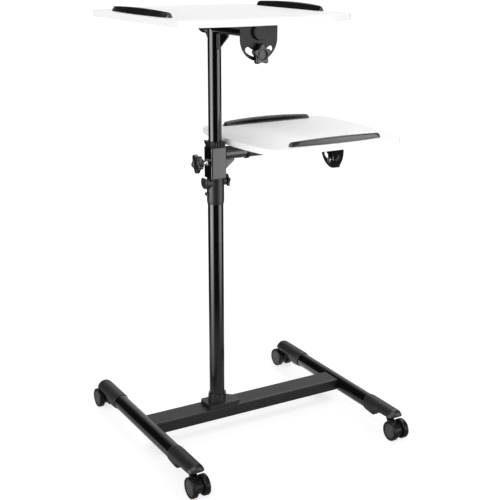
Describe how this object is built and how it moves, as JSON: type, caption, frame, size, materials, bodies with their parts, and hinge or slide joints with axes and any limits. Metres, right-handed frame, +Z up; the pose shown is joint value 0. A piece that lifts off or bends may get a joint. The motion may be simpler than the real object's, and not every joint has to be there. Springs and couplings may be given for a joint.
{
  "type": "projector table",
  "caption": "Rolling projector table with a telescopic mast on an H-shaped caster base, a tilting upper shelf and a smaller tilting side shelf with edge stops.",
  "frame": {"origin": "on the floor, under the middle of the table's bounding box at rest", "axes": "+Z up along the mast; +X along the base beam towards the side shelf; +Y to the back, away from the upper shelf's tilt knob"},
  "size_m": [0.6602, 0.598, 1.0645],
  "materials": {
    "frame_paint": "semi-gloss powder coat",
    "plate_paint": "satin powder coat",
    "black_plastic": "fine grained, matte",
    "knob_plastic": "satin",
    "wheel_plastic": "smooth, semi-gloss",
    "white_board": "white melamine over particle board",
    "stop_plastic": "satin, lightly grained",
    "steel": "zinc plated",
    "screw_steel": "zinc plated"
  },
  "bodies": {
    "base": {"base_beam": "frame_paint", "left_leg": "frame_paint", "right_leg": "frame_paint", "mast_foot": "black_plastic", "foot_bolts": "steel", "lower_mast": "frame_paint", "clamp_collar": "black_plastic", "caster_stems": "steel", "cap_front_left": "black_plastic", "cap_front_right": "black_plastic", "cap_back_left": "black_plastic", "cap_back_right": "black_plastic"},
    "collar_knob": {"collar_knob": "knob_plastic"},
    "mast_guide": {"mast_guide": "black_plastic"},
    "upper_mast": {"upper_mast": "frame_paint", "top_arm": "frame_paint", "top_gussets": "frame_paint", "top_end_plate": "frame_paint", "top_pivot": "black_plastic", "top_clamp_bolt": "steel"},
    "top_shelf": {"top_board": "white_board", "top_stop_left": "stop_plastic", "top_stop_right": "stop_plastic", "top_slot_plate": "plate_paint", "top_rear_hanger": "plate_paint", "top_screws": "screw_steel"},
    "top_knob": {"top_knob": "knob_plastic"},
    "sleeve_ring": {"sleeve_ring": "black_plastic"},
    "sleeve": {"sleeve": "frame_paint", "sleeve_bushing": "black_plastic", "lower_arm": "frame_paint", "lower_gusset": "frame_paint", "lower_end_plate": "frame_paint", "lower_pivot": "black_plastic", "lower_clamp_bolt": "steel"},
    "lower_shelf": {"lower_board": "white_board", "lower_stop_front": "stop_plastic", "lower_stop_back": "stop_plastic", "lower_slot_plate": "plate_paint", "lower_inner_hanger": "plate_paint", "lower_screws": "screw_steel"},
    "lower_knob": {"lower_knob": "knob_plastic"},
    "sleeve_knob": {"sleeve_knob": "knob_plastic", "sleeve_screw": "steel"},
    "caster_front_left": {"caster_hood_front_left": "black_plastic", "caster_axle_front_left": "steel"},
    "wheel_left_front_left": {"wheel_left_front_left": "wheel_plastic"},
    "wheel_right_front_left": {"wheel_right_front_left": "wheel_plastic"},
    "caster_front_right": {"caster_hood_front_right": "black_plastic", "caster_axle_front_right": "steel"},
    "wheel_left_front_right": {"wheel_left_front_right": "wheel_plastic"},
    "wheel_right_front_right": {"wheel_right_front_right": "wheel_plastic"},
    "caster_back_left": {"caster_hood_back_left": "black_plastic", "caster_axle_back_left": "steel"},
    "wheel_left_back_left": {"wheel_left_back_left": "wheel_plastic"},
    "wheel_right_back_left": {"wheel_right_back_left": "wheel_plastic"},
    "caster_back_right": {"caster_hood_back_right": "black_plastic", "caster_axle_back_right": "steel"},
    "wheel_left_back_right": {"wheel_left_back_right": "wheel_plastic"},
    "wheel_right_back_right": {"wheel_right_back_right": "wheel_plastic"}
  },
  "joints": [
    {"name": "collar_knob_turn", "type": "hinge", "parent": "base", "child": "collar_knob", "pos_m": [-0.09577, 0, 0.651], "axis": [1, 0, 0], "range_deg": [0, 360]},
    {"name": "mast_height", "type": "slide", "parent": "base", "child": "mast_guide", "axis": [0, 0, 1], "range_m": [0, 0.2]},
    {"name": "mast_swivel", "type": "hinge", "parent": "mast_guide", "child": "upper_mast", "pos_m": [-0.09577, 0, 0.655], "axis": [0, 0, 1], "continuous": true},
    {"name": "top_tilt", "type": "hinge", "parent": "upper_mast", "child": "top_shelf", "pos_m": [-0.09577, 0, 1.016], "axis": [-0.0776, 0.997, 0], "range_deg": [-35, 35]},
    {"name": "top_knob_turn", "type": "hinge", "parent": "upper_mast", "child": "top_knob", "pos_m": [-0.08181, -0.17946, 0.968], "axis": [0.0776, -0.997, 0], "range_deg": [0, 360]},
    {"name": "lower_shelf_height", "type": "slide", "parent": "upper_mast", "child": "sleeve_ring", "axis": [0, 0, 1], "range_m": [0, 0.15]},
    {"name": "lower_shelf_swivel", "type": "hinge", "parent": "sleeve_ring", "child": "sleeve", "pos_m": [-0.09577, 0, 0.7], "axis": [0, 0, 1], "continuous": true},
    {"name": "lower_tilt", "type": "hinge", "parent": "sleeve", "child": "lower_shelf", "pos_m": [-0.09577, 0, 0.718], "axis": [1, 0, 0], "range_deg": [-35, 35]},
    {"name": "lower_knob_turn", "type": "hinge", "parent": "sleeve", "child": "lower_knob", "pos_m": [0.24423, 0, 0.67], "axis": [1, 0, 0], "range_deg": [0, 360]},
    {"name": "sleeve_knob_turn", "type": "hinge", "parent": "sleeve", "child": "sleeve_knob", "pos_m": [-0.09577, 0, 0.699], "axis": [-1, 0, 0], "range_deg": [0, 360]},
    {"name": "caster_swivel_front_left", "type": "hinge", "parent": "base", "child": "caster_front_left", "pos_m": [-0.29307, -0.249, 0.051], "axis": [0, 0, 1], "continuous": true},
    {"name": "spin_left_front_left", "type": "hinge", "parent": "caster_front_left", "child": "wheel_left_front_left", "pos_m": [-0.29307, -0.274, 0.025], "axis": [1, 0, 0], "continuous": true},
    {"name": "spin_right_front_left", "type": "hinge", "parent": "caster_front_left", "child": "wheel_right_front_left", "pos_m": [-0.29307, -0.274, 0.025], "axis": [1, 0, 0], "continuous": true},
    {"name": "caster_swivel_front_right", "type": "hinge", "parent": "base", "child": "caster_front_right", "pos_m": [0.26743, -0.249, 0.051], "axis": [0, 0, 1], "continuous": true},
    {"name": "spin_left_front_right", "type": "hinge", "parent": "caster_front_right", "child": "wheel_left_front_right", "pos_m": [0.26743, -0.274, 0.025], "axis": [1, 0, 0], "continuous": true},
    {"name": "spin_right_front_right", "type": "hinge", "parent": "caster_front_right", "child": "wheel_right_front_right", "pos_m": [0.26743, -0.274, 0.025], "axis": [1, 0, 0], "continuous": true},
    {"name": "caster_swivel_back_left", "type": "hinge", "parent": "base", "child": "caster_back_left", "pos_m": [-0.29307, 0.249, 0.051], "axis": [0, 0, 1], "continuous": true},
    {"name": "spin_left_back_left", "type": "hinge", "parent": "caster_back_left", "child": "wheel_left_back_left", "pos_m": [-0.29307, 0.274, 0.025], "axis": [1, 0, 0], "continuous": true},
    {"name": "spin_right_back_left", "type": "hinge", "parent": "caster_back_left", "child": "wheel_right_back_left", "pos_m": [-0.29307, 0.274, 0.025], "axis": [1, 0, 0], "continuous": true},
    {"name": "caster_swivel_back_right", "type": "hinge", "parent": "base", "child": "caster_back_right", "pos_m": [0.26743, 0.249, 0.051], "axis": [0, 0, 1], "continuous": true},
    {"name": "spin_left_back_right", "type": "hinge", "parent": "caster_back_right", "child": "wheel_left_back_right", "pos_m": [0.26743, 0.274, 0.025], "axis": [1, 0, 0], "continuous": true},
    {"name": "spin_right_back_right", "type": "hinge", "parent": "caster_back_right", "child": "wheel_right_back_right", "pos_m": [0.26743, 0.274, 0.025], "axis": [1, 0, 0], "continuous": true}
  ]
}
